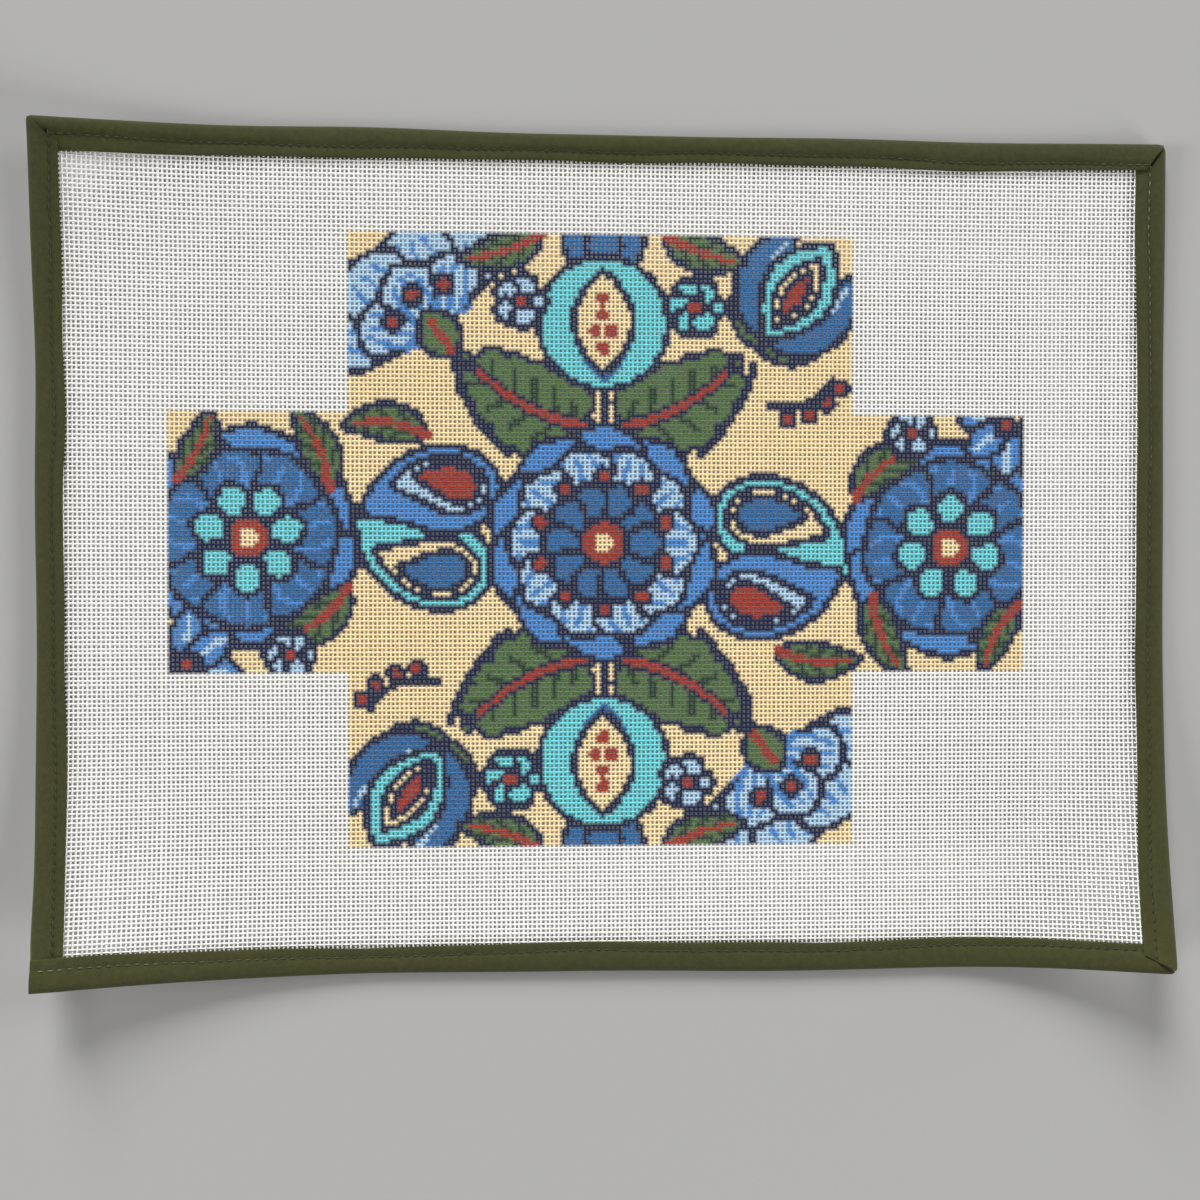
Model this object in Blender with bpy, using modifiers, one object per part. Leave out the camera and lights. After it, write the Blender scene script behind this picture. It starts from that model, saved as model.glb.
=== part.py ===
"""Needlepoint canvas panel: a rectangle of stiff mono canvas, bound all round with one length of folded tape.

Run it with: blender --background --python part.py
Metres, +Z up. The panel lies face up with its middle flat on the surface, X along its long side.
"""

import math

import bpy
from mathutils import Vector

MM = 0.001

# Driving sizes
PANEL_WIDTH = 500 * MM  # over the binding, along X
PANEL_HEIGHT = 372 * MM  # over the binding, along Y
CANVAS_THICKNESS = 1.0 * MM
TAPE_THICKNESS = 1.0 * MM  # one ply of the binding with its turned-in edge
CLEARANCE = 0.3 * MM  # between the canvas and each ply, and between the tape's two ends
TAPE_FACE = 12 * MM  # how much of the tape shows on each side
TAPE_OVERHANG = 1.2 * MM  # the tape's last end passes the left edge by this
TOP_EDGE_FALL = 1.1 * MM  # the top edge was cut this much lower at its right end
PROP_REACH = 70 * MM  # the tape's lower ply props the canvas up, from this far in from each edge
LEFT_LIFT = 3 * MM  # how far the whole left edge curls up, besides its corners
LEFT_REACH = 130 * MM

# Mesh steps
CELLS_ALONG_WIDTH = 36  # between the binding's inner edges
CELLS_ALONG_HEIGHT = 27
FOLD_STEPS = 4  # facets round the tape's outer fold

# How the stiff canvas curls off the surface at its corners: the lift falls to nothing along the line that
# joins the two reaches.
# corner, side along X, side along Y, lift, reach along X, reach along Y
CORNER_CURLS = (
    ("top left", -1, 1, 10 * MM, 120 * MM, 130 * MM),
    ("top right", 1, 1, 2 * MM, 80 * MM, 100 * MM),
    ("bottom left", -1, -1, 15 * MM, 160 * MM, 150 * MM),
    ("bottom right", 1, -1, 22 * MM, 109 * MM, 166 * MM),
)

# Sizes that follow from them
PLY_OFFSET = CANVAS_THICKNESS / 2 + CLEARANCE + TAPE_THICKNESS / 2  # canvas middle to tape middle
OVERLAP_OFFSET = PLY_OFFSET + TAPE_THICKNESS + CLEARANCE  # the same where the last run covers the first
CUT_INSET = PLY_OFFSET + TAPE_THICKNESS / 2  # from the panel's outer edge to the canvas's cut edge

CANVAS_WHITE = (0.86, 0.85, 0.82, 1.0)
TAPE_OLIVE = (0.052, 0.055, 0.022, 1.0)


def clear_scene():
    for old in list(bpy.data.objects):
        bpy.data.objects.remove(old)


def cloth_material(name, colour, roughness):
    material = bpy.data.materials.new(name)
    material.use_nodes = True
    shader = material.node_tree.nodes["Principled BSDF"]
    shader.inputs["Base Color"].default_value = colour
    shader.inputs["Roughness"].default_value = roughness
    shader.inputs["Metallic"].default_value = 0.0
    return material


def propped(x, y):
    """How far the tape's lower ply, which lies on the surface, lifts the canvas."""
    level = 1.0
    for from_edge in (PANEL_WIDTH / 2 - abs(x), PANEL_HEIGHT / 2 - abs(y)):
        share = min(max((PROP_REACH - from_edge) / (PROP_REACH - TAPE_FACE), 0.0), 1.0)
        level *= 1 - share**2 * (3 - 2 * share)
    return (TAPE_THICKNESS + CLEARANCE) * (1 - level)


def curled(x, y):
    """Where a point of the flat cloth lies: its middle plane, moved in as the cloth rises."""
    place = Vector((x, y, CANVAS_THICKNESS / 2 + propped(x, y)))
    for _corner, side_x, side_y, lift, reach_x, reach_y in CORNER_CURLS:
        from_side = PANEL_WIDTH / 2 - side_x * x
        from_end = PANEL_HEIGHT / 2 - side_y * y
        share = max(0.0, 1 - from_side / reach_x - from_end / reach_y)
        outward = Vector((side_x / reach_x, side_y / reach_y, 0))
        place.z += lift * share**2
        place -= outward * 2 / 3 * lift**2 * share**3
    place.z += LEFT_LIFT * max(0.0, 1 - (PANEL_WIDTH / 2 + x) / LEFT_REACH) ** 2
    place.y -= TOP_EDGE_FALL * (x / PANEL_WIDTH + 0.5) * max(0.0, 2 * y / PANEL_HEIGHT)
    return place


def on_cloth(x, y, offset=0.0):
    """A point at a distance above (or below) the curled middle plane, square to it."""
    span = 1 * MM
    along_x = curled(x + span, y) - curled(x - span, y)
    along_y = curled(x, y + span) - curled(x, y - span)
    return curled(x, y) + along_x.cross(along_y).normalized() * offset


def cloth_from_grid(name, columns, rows, position, thickness, material, collection):
    """A flat grid whose points go where position(column, row) says, then gets its thickness."""
    bpy.ops.mesh.primitive_grid_add(x_subdivisions=columns - 1, y_subdivisions=rows - 1, size=1)
    cloth = bpy.context.active_object
    cloth.name = name
    cloth.data.name = name
    for point in cloth.data.vertices:
        column = round((point.co.x + 0.5) * (columns - 1))
        row = round((point.co.y + 0.5) * (rows - 1))
        point.co = position(column, row)
    cloth.data.materials.append(material)
    cloth.data.shade_smooth()
    solid = cloth.modifiers.new("thickness", "SOLIDIFY")
    solid.thickness = thickness
    solid.offset = 0
    solid.use_even_offset = True
    for old in list(cloth.users_collection):
        old.objects.unlink(cloth)
    collection.objects.link(cloth)


def grid_lines(panel_size, cells):
    """Where the mesh lines cross one side: the cut edge, the binding's inner edge, and even cells between."""
    cut = panel_size / 2 - CUT_INSET
    inner = panel_size / 2 - TAPE_FACE
    between = [inner * (2 * cell / cells - 1) for cell in range(cells + 1)]
    return [-cut] + between + [cut]


def build_canvas(collection):
    across = grid_lines(PANEL_WIDTH, CELLS_ALONG_WIDTH)
    up = grid_lines(PANEL_HEIGHT, CELLS_ALONG_HEIGHT)
    white = cloth_material("stiffened cotton canvas", CANVAS_WHITE, 0.85)

    def canvas_point(column, row):
        return on_cloth(across[column], up[row])

    cloth_from_grid("canvas", len(across), len(up), canvas_point, CANVAS_THICKNESS, white, collection)


def tape_stations():
    """The stations along the tape, each with its side along X, its side along Y, and its place between corners.

    The tape starts at the canvas's cut edge at the bottom left, goes up the left side, is mitred at the other
    three corners, and ends just past the left edge, over its own start.
    """
    across = grid_lines(PANEL_WIDTH, CELLS_ALONG_WIDTH)
    up = grid_lines(PANEL_HEIGHT, CELLS_ALONG_HEIGHT)
    left = [(-1, 0, y) for y in up[:-1]]
    top = [(0, 1, x) for x in across[1:-1]]
    right = [(1, 0, y) for y in reversed(up[1:-1])]
    bottom = [(0, -1, x) for x in reversed(across[1:-1])]
    last_end = [(0, -1, -PANEL_WIDTH / 2 - TAPE_OVERHANG)]
    return left + [(-1, 1, 0)] + top + [(1, 1, 0)] + right + [(1, -1, 0)] + bottom + last_end


def tape_profile(ply_offset):
    """The tape's section: distance in from the panel's outer edge, and height above the canvas's middle."""
    fold = [math.pi * step / FOLD_STEPS for step in range(FOLD_STEPS + 1)]
    around = [(CUT_INSET - ply_offset * math.sin(turn), ply_offset * math.cos(turn)) for turn in fold]
    return [(TAPE_FACE, ply_offset)] + around + [(TAPE_FACE, -ply_offset)]


def build_binding(collection):
    """One length of tape folded over the canvas's edge all round."""
    olive = cloth_material("olive twill tape", TAPE_OLIVE, 0.9)
    stations = tape_stations()
    stations_over_start = 2  # the last run's inner corner and its end

    def tape_point(column, row):
        side_x, side_y, along = stations[column]
        over_start = column >= len(stations) - stations_over_start
        inset, offset = tape_profile(OVERLAP_OFFSET if over_start else PLY_OFFSET)[row]
        x = side_x * (PANEL_WIDTH / 2 - inset) if side_x else along
        y = side_y * (PANEL_HEIGHT / 2 - inset) if side_y else along
        return on_cloth(x, y, offset)

    rows = len(tape_profile(PLY_OFFSET))
    cloth_from_grid("binding", len(stations), rows, tape_point, TAPE_THICKNESS, olive, collection)


def main():
    clear_scene()
    collection = bpy.data.collections.new("needlepoint canvas panel")
    bpy.context.scene.collection.children.link(collection)
    build_canvas(collection)
    build_binding(collection)


main()
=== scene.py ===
"""The looks of the needlepoint canvas panel: woven threads, painted flowers, folded tape and stitches."""

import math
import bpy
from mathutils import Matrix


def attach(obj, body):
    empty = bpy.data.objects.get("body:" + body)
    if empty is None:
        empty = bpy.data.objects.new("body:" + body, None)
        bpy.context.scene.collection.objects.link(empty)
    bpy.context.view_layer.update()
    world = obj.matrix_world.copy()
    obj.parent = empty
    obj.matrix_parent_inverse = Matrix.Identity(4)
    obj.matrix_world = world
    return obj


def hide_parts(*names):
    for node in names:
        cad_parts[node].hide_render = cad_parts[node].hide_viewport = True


bl_info = {
    "name": "Needlepoint canvas panel",
    "version": (1, 0, 0),
    "blender": (4, 5, 0),
    "location": "View3D > Sidebar > Canvas panel",
    "description": "Weaves, paints, binds and sews a needlepoint canvas for a brick cover",
    "category": "Add Mesh",
}

from collections import namedtuple

import bpy
import numpy as np
from bpy.props import FloatProperty, FloatVectorProperty, IntProperty, PointerProperty
from mathutils import Matrix, Vector

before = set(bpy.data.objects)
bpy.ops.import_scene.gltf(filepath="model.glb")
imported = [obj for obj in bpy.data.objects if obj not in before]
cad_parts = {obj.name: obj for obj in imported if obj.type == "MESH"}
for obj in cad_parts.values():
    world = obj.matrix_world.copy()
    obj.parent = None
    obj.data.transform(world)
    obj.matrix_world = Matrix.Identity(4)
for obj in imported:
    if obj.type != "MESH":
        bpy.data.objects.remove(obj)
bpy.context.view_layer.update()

MM = 0.001

# How the cloth lies, the same as the solids'
PANEL_WIDTH = 500 * MM
PANEL_HEIGHT = 372 * MM
CANVAS_MIDDLE = 0.5 * MM  # height of the canvas's middle plane where it lies on the surface
TAPE_PROP = 1.3 * MM  # how far the tape's lower ply lifts the canvas
TAPE_FACE = 12 * MM
CUT_INSET = 1.8 * MM  # from the panel's outer edge to the canvas's cut edge
TOP_EDGE_FALL = 1.1 * MM
PROP_REACH = 70 * MM
LEFT_LIFT = 3 * MM
LEFT_REACH = 130 * MM
# corner, side along X, side along Y, lift, reach along X, reach along Y
CORNER_CURLS = (
    ("top left", -1, 1, 10 * MM, 120 * MM, 130 * MM),
    ("top right", 1, 1, 2 * MM, 80 * MM, 100 * MM),
    ("bottom left", -1, -1, 15 * MM, 160 * MM, 150 * MM),
    ("bottom right", 1, -1, 22 * MM, 109 * MM, 166 * MM),
)

# The painted cross, counted in meshes of the canvas: what covers the brick's top, and its four sides
CROSS_WIDTH = 195
CROSS_HEIGHT = 137
CENTRE_WIDTH = 115
CENTRE_HEIGHT = 58
CROSS_PLACE = (-3.5 * MM, 5 * MM)

# Paints, as they look on a thread
NAVY = (0.098, 0.137, 0.275)
TURQUOISE = (0.44, 0.84, 0.87)
DEEP_BLUE = (0.19, 0.43, 0.66)
MID_BLUE = (0.30, 0.56, 0.84)
PALE_BLUE = (0.70, 0.83, 0.93)
LEAF_GREEN = (0.35, 0.47, 0.28)
DARK_GREEN = (0.15, 0.26, 0.17)
BRICK_RED = (0.66, 0.22, 0.17)
CREAM = (0.98, 0.88, 0.68)
OUTLINE_WIDTH = 1.6  # meshes
FINE_LINE = 1.2  # meshes, round berries, seeds and the eyes of small flowers
UNDERSIDE_PAINT = 0.45  # how much of the paint soaks through to the threads' lower side

# How unevenly the canvas is woven
THREAD_DRIFT = 0.035 * MM  # how far a thread lies off its place
THREAD_SWAY = 0.05 * MM  # how far it sways to and fro along its way
SWAY_CROSSINGS = 23  # how slowly it does so
UNEVEN = 0.05  # how much its width and its paint vary

# The binding, besides the sizes in its panel
TAPE_GAP = 0.55 * MM  # from the canvas's middle to the tape's turned-in edge
EDGE_SOFTNESS = 0.08 * MM  # how much the turned-in edge is rounded
FACE_SWELL = 1.04  # how much thicker the tape is over its turned-in edge
FACE_INSETS = (10.5, 9.4, 8.4, 7.4, 6.4, 5.4, 4.4, 3.4, 2.6)  # mm, the mesh lines along the tape's face
FOLD_STEPS = 8
# how the inner and the outer edge wave: how far, over what length, and a shift for each run
INNER_WAVES = ((0.28 * MM, 31 * MM, 1), (0.16 * MM, 11 * MM, 2))
OUTER_WAVES = ((0.30 * MM, 47 * MM, 3), (0.12 * MM, 17 * MM, 1))
RUN_SHIFT = 1.7  # radians, from one run's waves to the next one's
OPEN_MITRE = 0.5 * MM  # how far the mitre at the bottom right gapes
MITRE_REACH = 3.5 * MM  # how far back from a mitre the tape starts to rise to it
START_DIP = 0.45 * MM  # how deep a run's start lies under the run before it
START_REACH = 1.2 * MM
LAST_END_CUT = 1.3 * MM  # the last run ends this much short of the panel's side
LAST_END_LIFT = 1.1 * MM  # the last run lies this much higher over the tape's start
LAST_END_REACH = 9 * MM
PUFF = 0.65 * MM  # how far the tape swells between its stitching and its fold
FLANGE_FALL = 0.16 * MM  # how far it sinks from its stitching to its inner edge
LUMPS = 0.12 * MM  # how uneven its face is
UNDERSIDE_SHARE = 0.15  # the lower ply lies on the surface and swells this much less

# The stitching
STITCH_DENT = 0.5 * MM  # how deep the stitches draw the tape in
DENT_REACH = 0.75 * MM
STITCH_END_ROOM = 3 * MM  # from the canvas's cut edge to the last stitch
STITCH_SHIFT = 0.07 * MM  # how far a stitch lies off its place
STITCH_RISE = 0.3 * MM  # of a stitch's middle off the tape's face
STITCH_SINK = 0.24 * MM  # how much lower its ends are
LOWER_RISE = -0.05 * MM  # the same for the stitches underneath
LOWER_SINK = 0.1 * MM
THREAD_LIGHT = 0.28  # how light the stitches look far from a corner
LIGHT_REACH = 70 * MM

MODEL_RADIUS = 0.25  # of a length of thread as it is modelled, before it is laid to size


class WeaveSizes(bpy.types.PropertyGroup):
    pitch_across: FloatProperty(
        name="Mesh across", description="From one upright thread to the next", default=25.4 / 13 * MM,
        unit="LENGTH")
    pitch_up: FloatProperty(
        name="Mesh up", description="From one level thread to the next", default=1.987 * MM, unit="LENGTH")
    thread_width: FloatProperty(
        name="Thread width", description="Width of a thread, from above", default=0.9 * MM, unit="LENGTH")
    thread_height: FloatProperty(
        name="Thread height", description="Thickness of one pressed thread", default=0.38 * MM, unit="LENGTH")
    wave: FloatProperty(
        name="Wave", description="How far a thread rises and falls over its neighbours", default=0.15 * MM,
        unit="LENGTH")
    warps: IntProperty(name="Upright threads", description="Number of upright threads", default=249)
    wefts: IntProperty(name="Level threads", description="Number of level threads", default=181)
    bare_colour: FloatVectorProperty(
        name="Bare cotton", description="Colour of an unpainted thread", default=(0.90, 0.89, 0.86),
        subtype="COLOR")


class TapeSizes(bpy.types.PropertyGroup):
    ply: FloatProperty(
        name="Ply", description="Thickness of the tape's cloth", default=0.45 * MM, unit="LENGTH")
    turned_in: FloatProperty(
        name="Turned in", description="Width of the raw edge folded under", default=3 * MM, unit="LENGTH")
    mitre_length: FloatProperty(
        name="Mitre", description="How far from a corner a run narrows", default=14 * MM, unit="LENGTH")
    underlap: FloatProperty(
        name="Underlap", description="How far a run passes under the next one at a corner", default=1.6 * MM,
        unit="LENGTH")
    colour: FloatVectorProperty(
        name="Tape", description="Colour of the tape", default=(0.045, 0.047, 0.011), subtype="COLOR")
    worn_colour: FloatVectorProperty(
        name="Worn tape", description="Colour of its lighter fibres", default=(0.066, 0.068, 0.018),
        subtype="COLOR")


class StitchSizes(bpy.types.PropertyGroup):
    pitch: FloatProperty(
        name="Stitch pitch", description="From one stitch to the next", default=3.85 * MM, unit="LENGTH")
    length: FloatProperty(
        name="Stitch length", description="How much of each stitch shows", default=3.0 * MM, unit="LENGTH")
    thickness: FloatProperty(
        name="Thread", description="Thickness of the sewing thread", default=0.5 * MM, unit="LENGTH")
    colour: FloatVectorProperty(
        name="Sewing thread", description="Colour of the sewing thread", default=(0.13, 0.13, 0.062),
        subtype="COLOR")


class StageSettings(bpy.types.PropertyGroup):
    camera_height: FloatProperty(
        name="Camera distance", description="From the panel to the camera", default=557.8 * MM, unit="LENGTH")
    camera_turn: FloatProperty(
        name="Camera to the left", description="How far the camera leans to the left of straight down",
        default=0.046, unit="ROTATION")
    camera_lean: FloatProperty(
        name="Camera to the top", description="How far the camera leans towards the top edge", default=0.0131,
        unit="ROTATION")
    looks_at: FloatVectorProperty(
        name="Looks at", description="Point in the picture's middle", default=(-5 * MM, -20.5 * MM, 0),
        subtype="TRANSLATION")
    focal_length: FloatProperty(
        name="Focal length", description="Of the camera, in millimetres", default=37.5)
    floor_colour: FloatVectorProperty(
        name="Floor", description="Colour of the floor", default=(0.44, 0.436, 0.43), subtype="COLOR")


# How the cloth lies


def curled(x, y):
    """Where points of the flat cloth lie: its middle plane, moved in as the cloth rises."""
    level = np.ones_like(x)
    for from_edge in (PANEL_WIDTH / 2 - abs(x), PANEL_HEIGHT / 2 - abs(y)):
        share = np.clip((PROP_REACH - from_edge) / (PROP_REACH - TAPE_FACE), 0, 1)
        level = level * (1 - share**2 * (3 - 2 * share))
    place = np.stack([x, y, CANVAS_MIDDLE + TAPE_PROP * (1 - level)], axis=-1)
    for _corner, side_x, side_y, lift, reach_x, reach_y in CORNER_CURLS:
        from_side = PANEL_WIDTH / 2 - side_x * x
        from_end = PANEL_HEIGHT / 2 - side_y * y
        share = np.maximum(0, 1 - from_side / reach_x - from_end / reach_y)
        place[..., 2] += lift * share**2
        place[..., 0] -= side_x / reach_x * 2 / 3 * lift**2 * share**3
        place[..., 1] -= side_y / reach_y * 2 / 3 * lift**2 * share**3
    place[..., 2] += LEFT_LIFT * np.maximum(0, 1 - (PANEL_WIDTH / 2 + x) / LEFT_REACH) ** 2
    place[..., 1] -= TOP_EDGE_FALL * (x / PANEL_WIDTH + 0.5) * np.maximum(0, 2 * y / PANEL_HEIGHT)
    return place


def on_cloth(x, y, offset):
    """Points at a distance above (or below) the curled middle plane, square to it."""
    span = 1 * MM
    along_x = curled(x + span, y) - curled(x - span, y)
    along_y = curled(x, y + span) - curled(x, y - span)
    normal = np.cross(along_x, along_y)
    normal /= np.linalg.norm(normal, axis=-1, keepdims=True)
    return curled(x, y) + normal * np.asarray(offset)[..., None]


# Modelling


def start_primitive():
    if bpy.context.object and bpy.context.object.mode != "OBJECT":
        bpy.ops.object.mode_set(mode="OBJECT")
    bpy.ops.object.select_all(action="DESELECT")


def get_points(piece):
    points = np.empty(len(piece.data.vertices) * 3)
    piece.data.vertices.foreach_get("co", points)
    return points.reshape(-1, 3)


def set_points(piece, points):
    piece.data.vertices.foreach_set("co", points.ravel())
    piece.data.update()


def repeat(count, step, merge):
    """Repeats the active piece with an array, and applies it."""
    bpy.ops.object.modifier_add(type="ARRAY")
    array = bpy.context.object.modifiers[-1]
    array.count = count
    array.use_relative_offset = False
    array.use_constant_offset = True
    array.constant_offset_displace = step
    array.use_merge_vertices = merge
    array.merge_threshold = 0.01
    bpy.ops.object.modifier_apply(modifier=array.name)


def linear(colour):
    """A colour as it looks, turned into the amounts of light that the renderer works with."""
    colour = np.asarray(colour, dtype=float)
    return np.where(colour <= 0.04045, colour / 12.92, ((colour + 0.055) / 1.055) ** 2.4)


def dress(piece, material):
    piece.data.materials.clear()
    piece.data.materials.append(material)
    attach(piece, "root")


def cloth_nodes(name, bump_strength, bump_depth):
    """A new material with its shader, a bump before it, and Object coordinates."""
    material = bpy.data.materials.new(name)
    material.use_nodes = True
    nodes, links = material.node_tree.nodes, material.node_tree.links
    shader = nodes["Principled BSDF"]
    bump = nodes.new("ShaderNodeBump")
    bump.inputs["Strength"].default_value = bump_strength
    bump.inputs["Distance"].default_value = bump_depth
    links.new(bump.outputs["Normal"], shader.inputs["Normal"])
    place = nodes.new("ShaderNodeTexCoord").outputs["Object"]
    return material, nodes, links, shader, place, bump.inputs["Height"]


def noise(nodes, links, place, scale, detail):
    """An uneven pattern, from nothing to one."""
    pattern = nodes.new("ShaderNodeTexNoise")
    pattern.inputs["Scale"].default_value = scale
    pattern.inputs["Detail"].default_value = detail
    links.new(place, pattern.inputs["Vector"])
    return pattern.outputs["Fac"]


def ranged(nodes, links, value, low, high):
    """A value from nothing to one, moved to between low and high."""
    moved = nodes.new("ShaderNodeMapRange")
    moved.inputs["To Min"].default_value = low
    moved.inputs["To Max"].default_value = high
    links.new(value, moved.inputs["Value"])
    return moved.outputs["Result"]


def combined(nodes, links, kind, operation, first, second):
    """Two values or colours, multiplied, scaled or added."""
    both = nodes.new(kind)
    both.operation = operation
    links.new(first, both.inputs[0])
    links.new(second, both.inputs["Scale" if operation == "SCALE" else 1])
    return both.outputs[0]


def toned(nodes, links, value, low, low_colour, high, high_colour):
    """The colours between two, for the values between low and high."""
    ramp = nodes.new("ShaderNodeValToRGB")
    for stop, place, colour in zip(ramp.color_ramp.elements, (low, high), (low_colour, high_colour)):
        stop.position = place
        stop.color = tuple(colour) + (1,)
    links.new(value, ramp.inputs["Fac"])
    return ramp.outputs["Color"]


# The weave


def thread_bundle(name, threads, crossings):
    """Threads side by side, in units of one mesh: one length of four-sided thread, repeated both ways."""
    start_primitive()
    bpy.ops.mesh.primitive_cylinder_add(
        vertices=4, radius=MODEL_RADIUS, depth=1, end_fill_type="NOTHING", location=(0, 0.5, 0),
        rotation=(math.pi / 2, 0, 0))
    bundle = bpy.context.object
    bundle.name = bundle.data.name = name
    bpy.ops.object.transform_apply(location=True, rotation=True, scale=True)
    repeat(crossings - 1, (0, 1, 0), True)
    bpy.ops.object.mode_set(mode="EDIT")
    bpy.ops.mesh.select_all(action="SELECT")
    bpy.ops.mesh.fill_holes(sides=4)
    bpy.ops.mesh.normals_make_consistent(inside=False)
    bpy.ops.object.mode_set(mode="OBJECT")
    repeat(threads, (1, 0, 0), False)
    bpy.ops.object.shade_smooth()
    return bundle


def unroll_threads(bundle, thread, station, dx, dz, threads, crossings):
    """Lays each thread's four sides flat as one strip of the map that finishes are baked to."""
    corners = np.empty(len(bundle.data.loops), dtype=int)
    bundle.data.loops.foreach_get("vertex_index", corners)
    corners = corners.reshape(-1, 4)
    side = np.select([dx < -0.5, dz > 0.5, dx > 0.5], [0, 1, 2], 3)[corners].astype(float)
    wraps = (side == 3).any(axis=1) & (side == 0).any(axis=1)
    side[(side == 0) & wraps[:, None]] = 4
    row = station[corners] + 1.0
    ends = np.ptp(station[corners], axis=1) == 0
    side[ends] = 2 + 2 * dx[corners[ends]]
    last = station[corners[ends]] == crossings - 1
    row[ends] = np.where(last, crossings + 0.5, 0.5) + 0.45 * dz[corners[ends]]
    across = (thread[corners] + 0.06 + 0.88 * side / 4) / threads
    up = row / (crossings + 1)
    strips = bundle.data.uv_layers.new(name="OFBake")
    strips.data.foreach_set("uv", np.stack([across, up], axis=-1).ravel())


def lay_threads(sizes, name, upright, first, threads, paint, material):
    """One half of the upright or the level threads, each over one and under one of the others."""
    crossings = sizes.wefts if upright else sizes.warps
    bundle = thread_bundle(name, threads, crossings)
    points = get_points(bundle)
    thread = np.rint(points[:, 0]).astype(int)
    station = np.rint(points[:, 1]).astype(int)
    dx, dz = (points[:, 0] - thread) / MODEL_RADIUS, points[:, 2] / MODEL_RADIUS

    chance = np.random.default_rng(first + (0 if upright else 1000))
    set_aside = chance.normal(0, THREAD_DRIFT, threads)
    sway = chance.uniform(0, 2 * math.pi, threads)
    fullness = chance.normal(1, UNEVEN, threads)
    slub = chance.normal(1, UNEVEN, (threads, crossings))
    width = sizes.thread_width / 2 * fullness[thread] * slub[thread, station]
    swayed = THREAD_SWAY * np.sin(station / SWAY_CROSSINGS + sway[thread])
    aside = set_aside[thread] + swayed + dx * width

    warp, weft = (first + thread, station) if upright else (station, sizes.wefts - 1 - first - thread)
    x = (warp - (sizes.warps - 1) / 2) * sizes.pitch_across
    y = (weft - (sizes.wefts - 1) / 2) * sizes.pitch_up
    over = np.where((warp + weft) % 2 == 0, 1, -1) * (1 if upright else -1)
    offset = over * sizes.wave + dz * sizes.thread_height / 2
    if upright:
        places = on_cloth(x + aside, y, offset)
    else:
        places = on_cloth(x, y - aside, offset)
    set_points(bundle, places)
    unroll_threads(bundle, thread, station, dx, dz, threads, crossings)

    # paint soaks through, and is paler underneath
    bare = np.asarray(sizes.bare_colour)
    soaked = np.where(dz < -0.5, UNDERSIDE_PAINT, 1.0) * paint.painted[weft, warp]
    load = chance.normal(1, UNEVEN, len(points))[:, None]
    colour = bare + (linear(paint.colour[weft, warp]) * load - bare) * soaked[:, None]
    colours = np.concatenate([np.clip(colour, 0, 1), soaked[:, None]], axis=-1)
    attribute = bundle.data.attributes.new("paint", "FLOAT_COLOR", "POINT")
    attribute.data.foreach_set("color", colours.ravel())

    dress(bundle, material)
    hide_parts("canvas")
    return bundle


def canvas_material():
    material, nodes, links, shader, place, height = cloth_nodes("painted cotton canvas", 0.5, 0.08 * MM)
    paint = nodes.new("ShaderNodeVertexColor")
    paint.layer_name = "paint"
    fibres = noise(nodes, links, place, 2600, 3)
    shade = ranged(nodes, links, fibres, 0.86, 1.12)
    tint = combined(nodes, links, "ShaderNodeVectorMath", "SCALE", paint.outputs["Color"], shade)
    links.new(tint, shader.inputs["Base Color"])
    links.new(ranged(nodes, links, paint.outputs["Alpha"], 0.88, 0.62), shader.inputs["Roughness"])
    shader.inputs["Specular IOR Level"].default_value = 0.2
    links.new(fibres, height)
    return material


# The painted design


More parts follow.
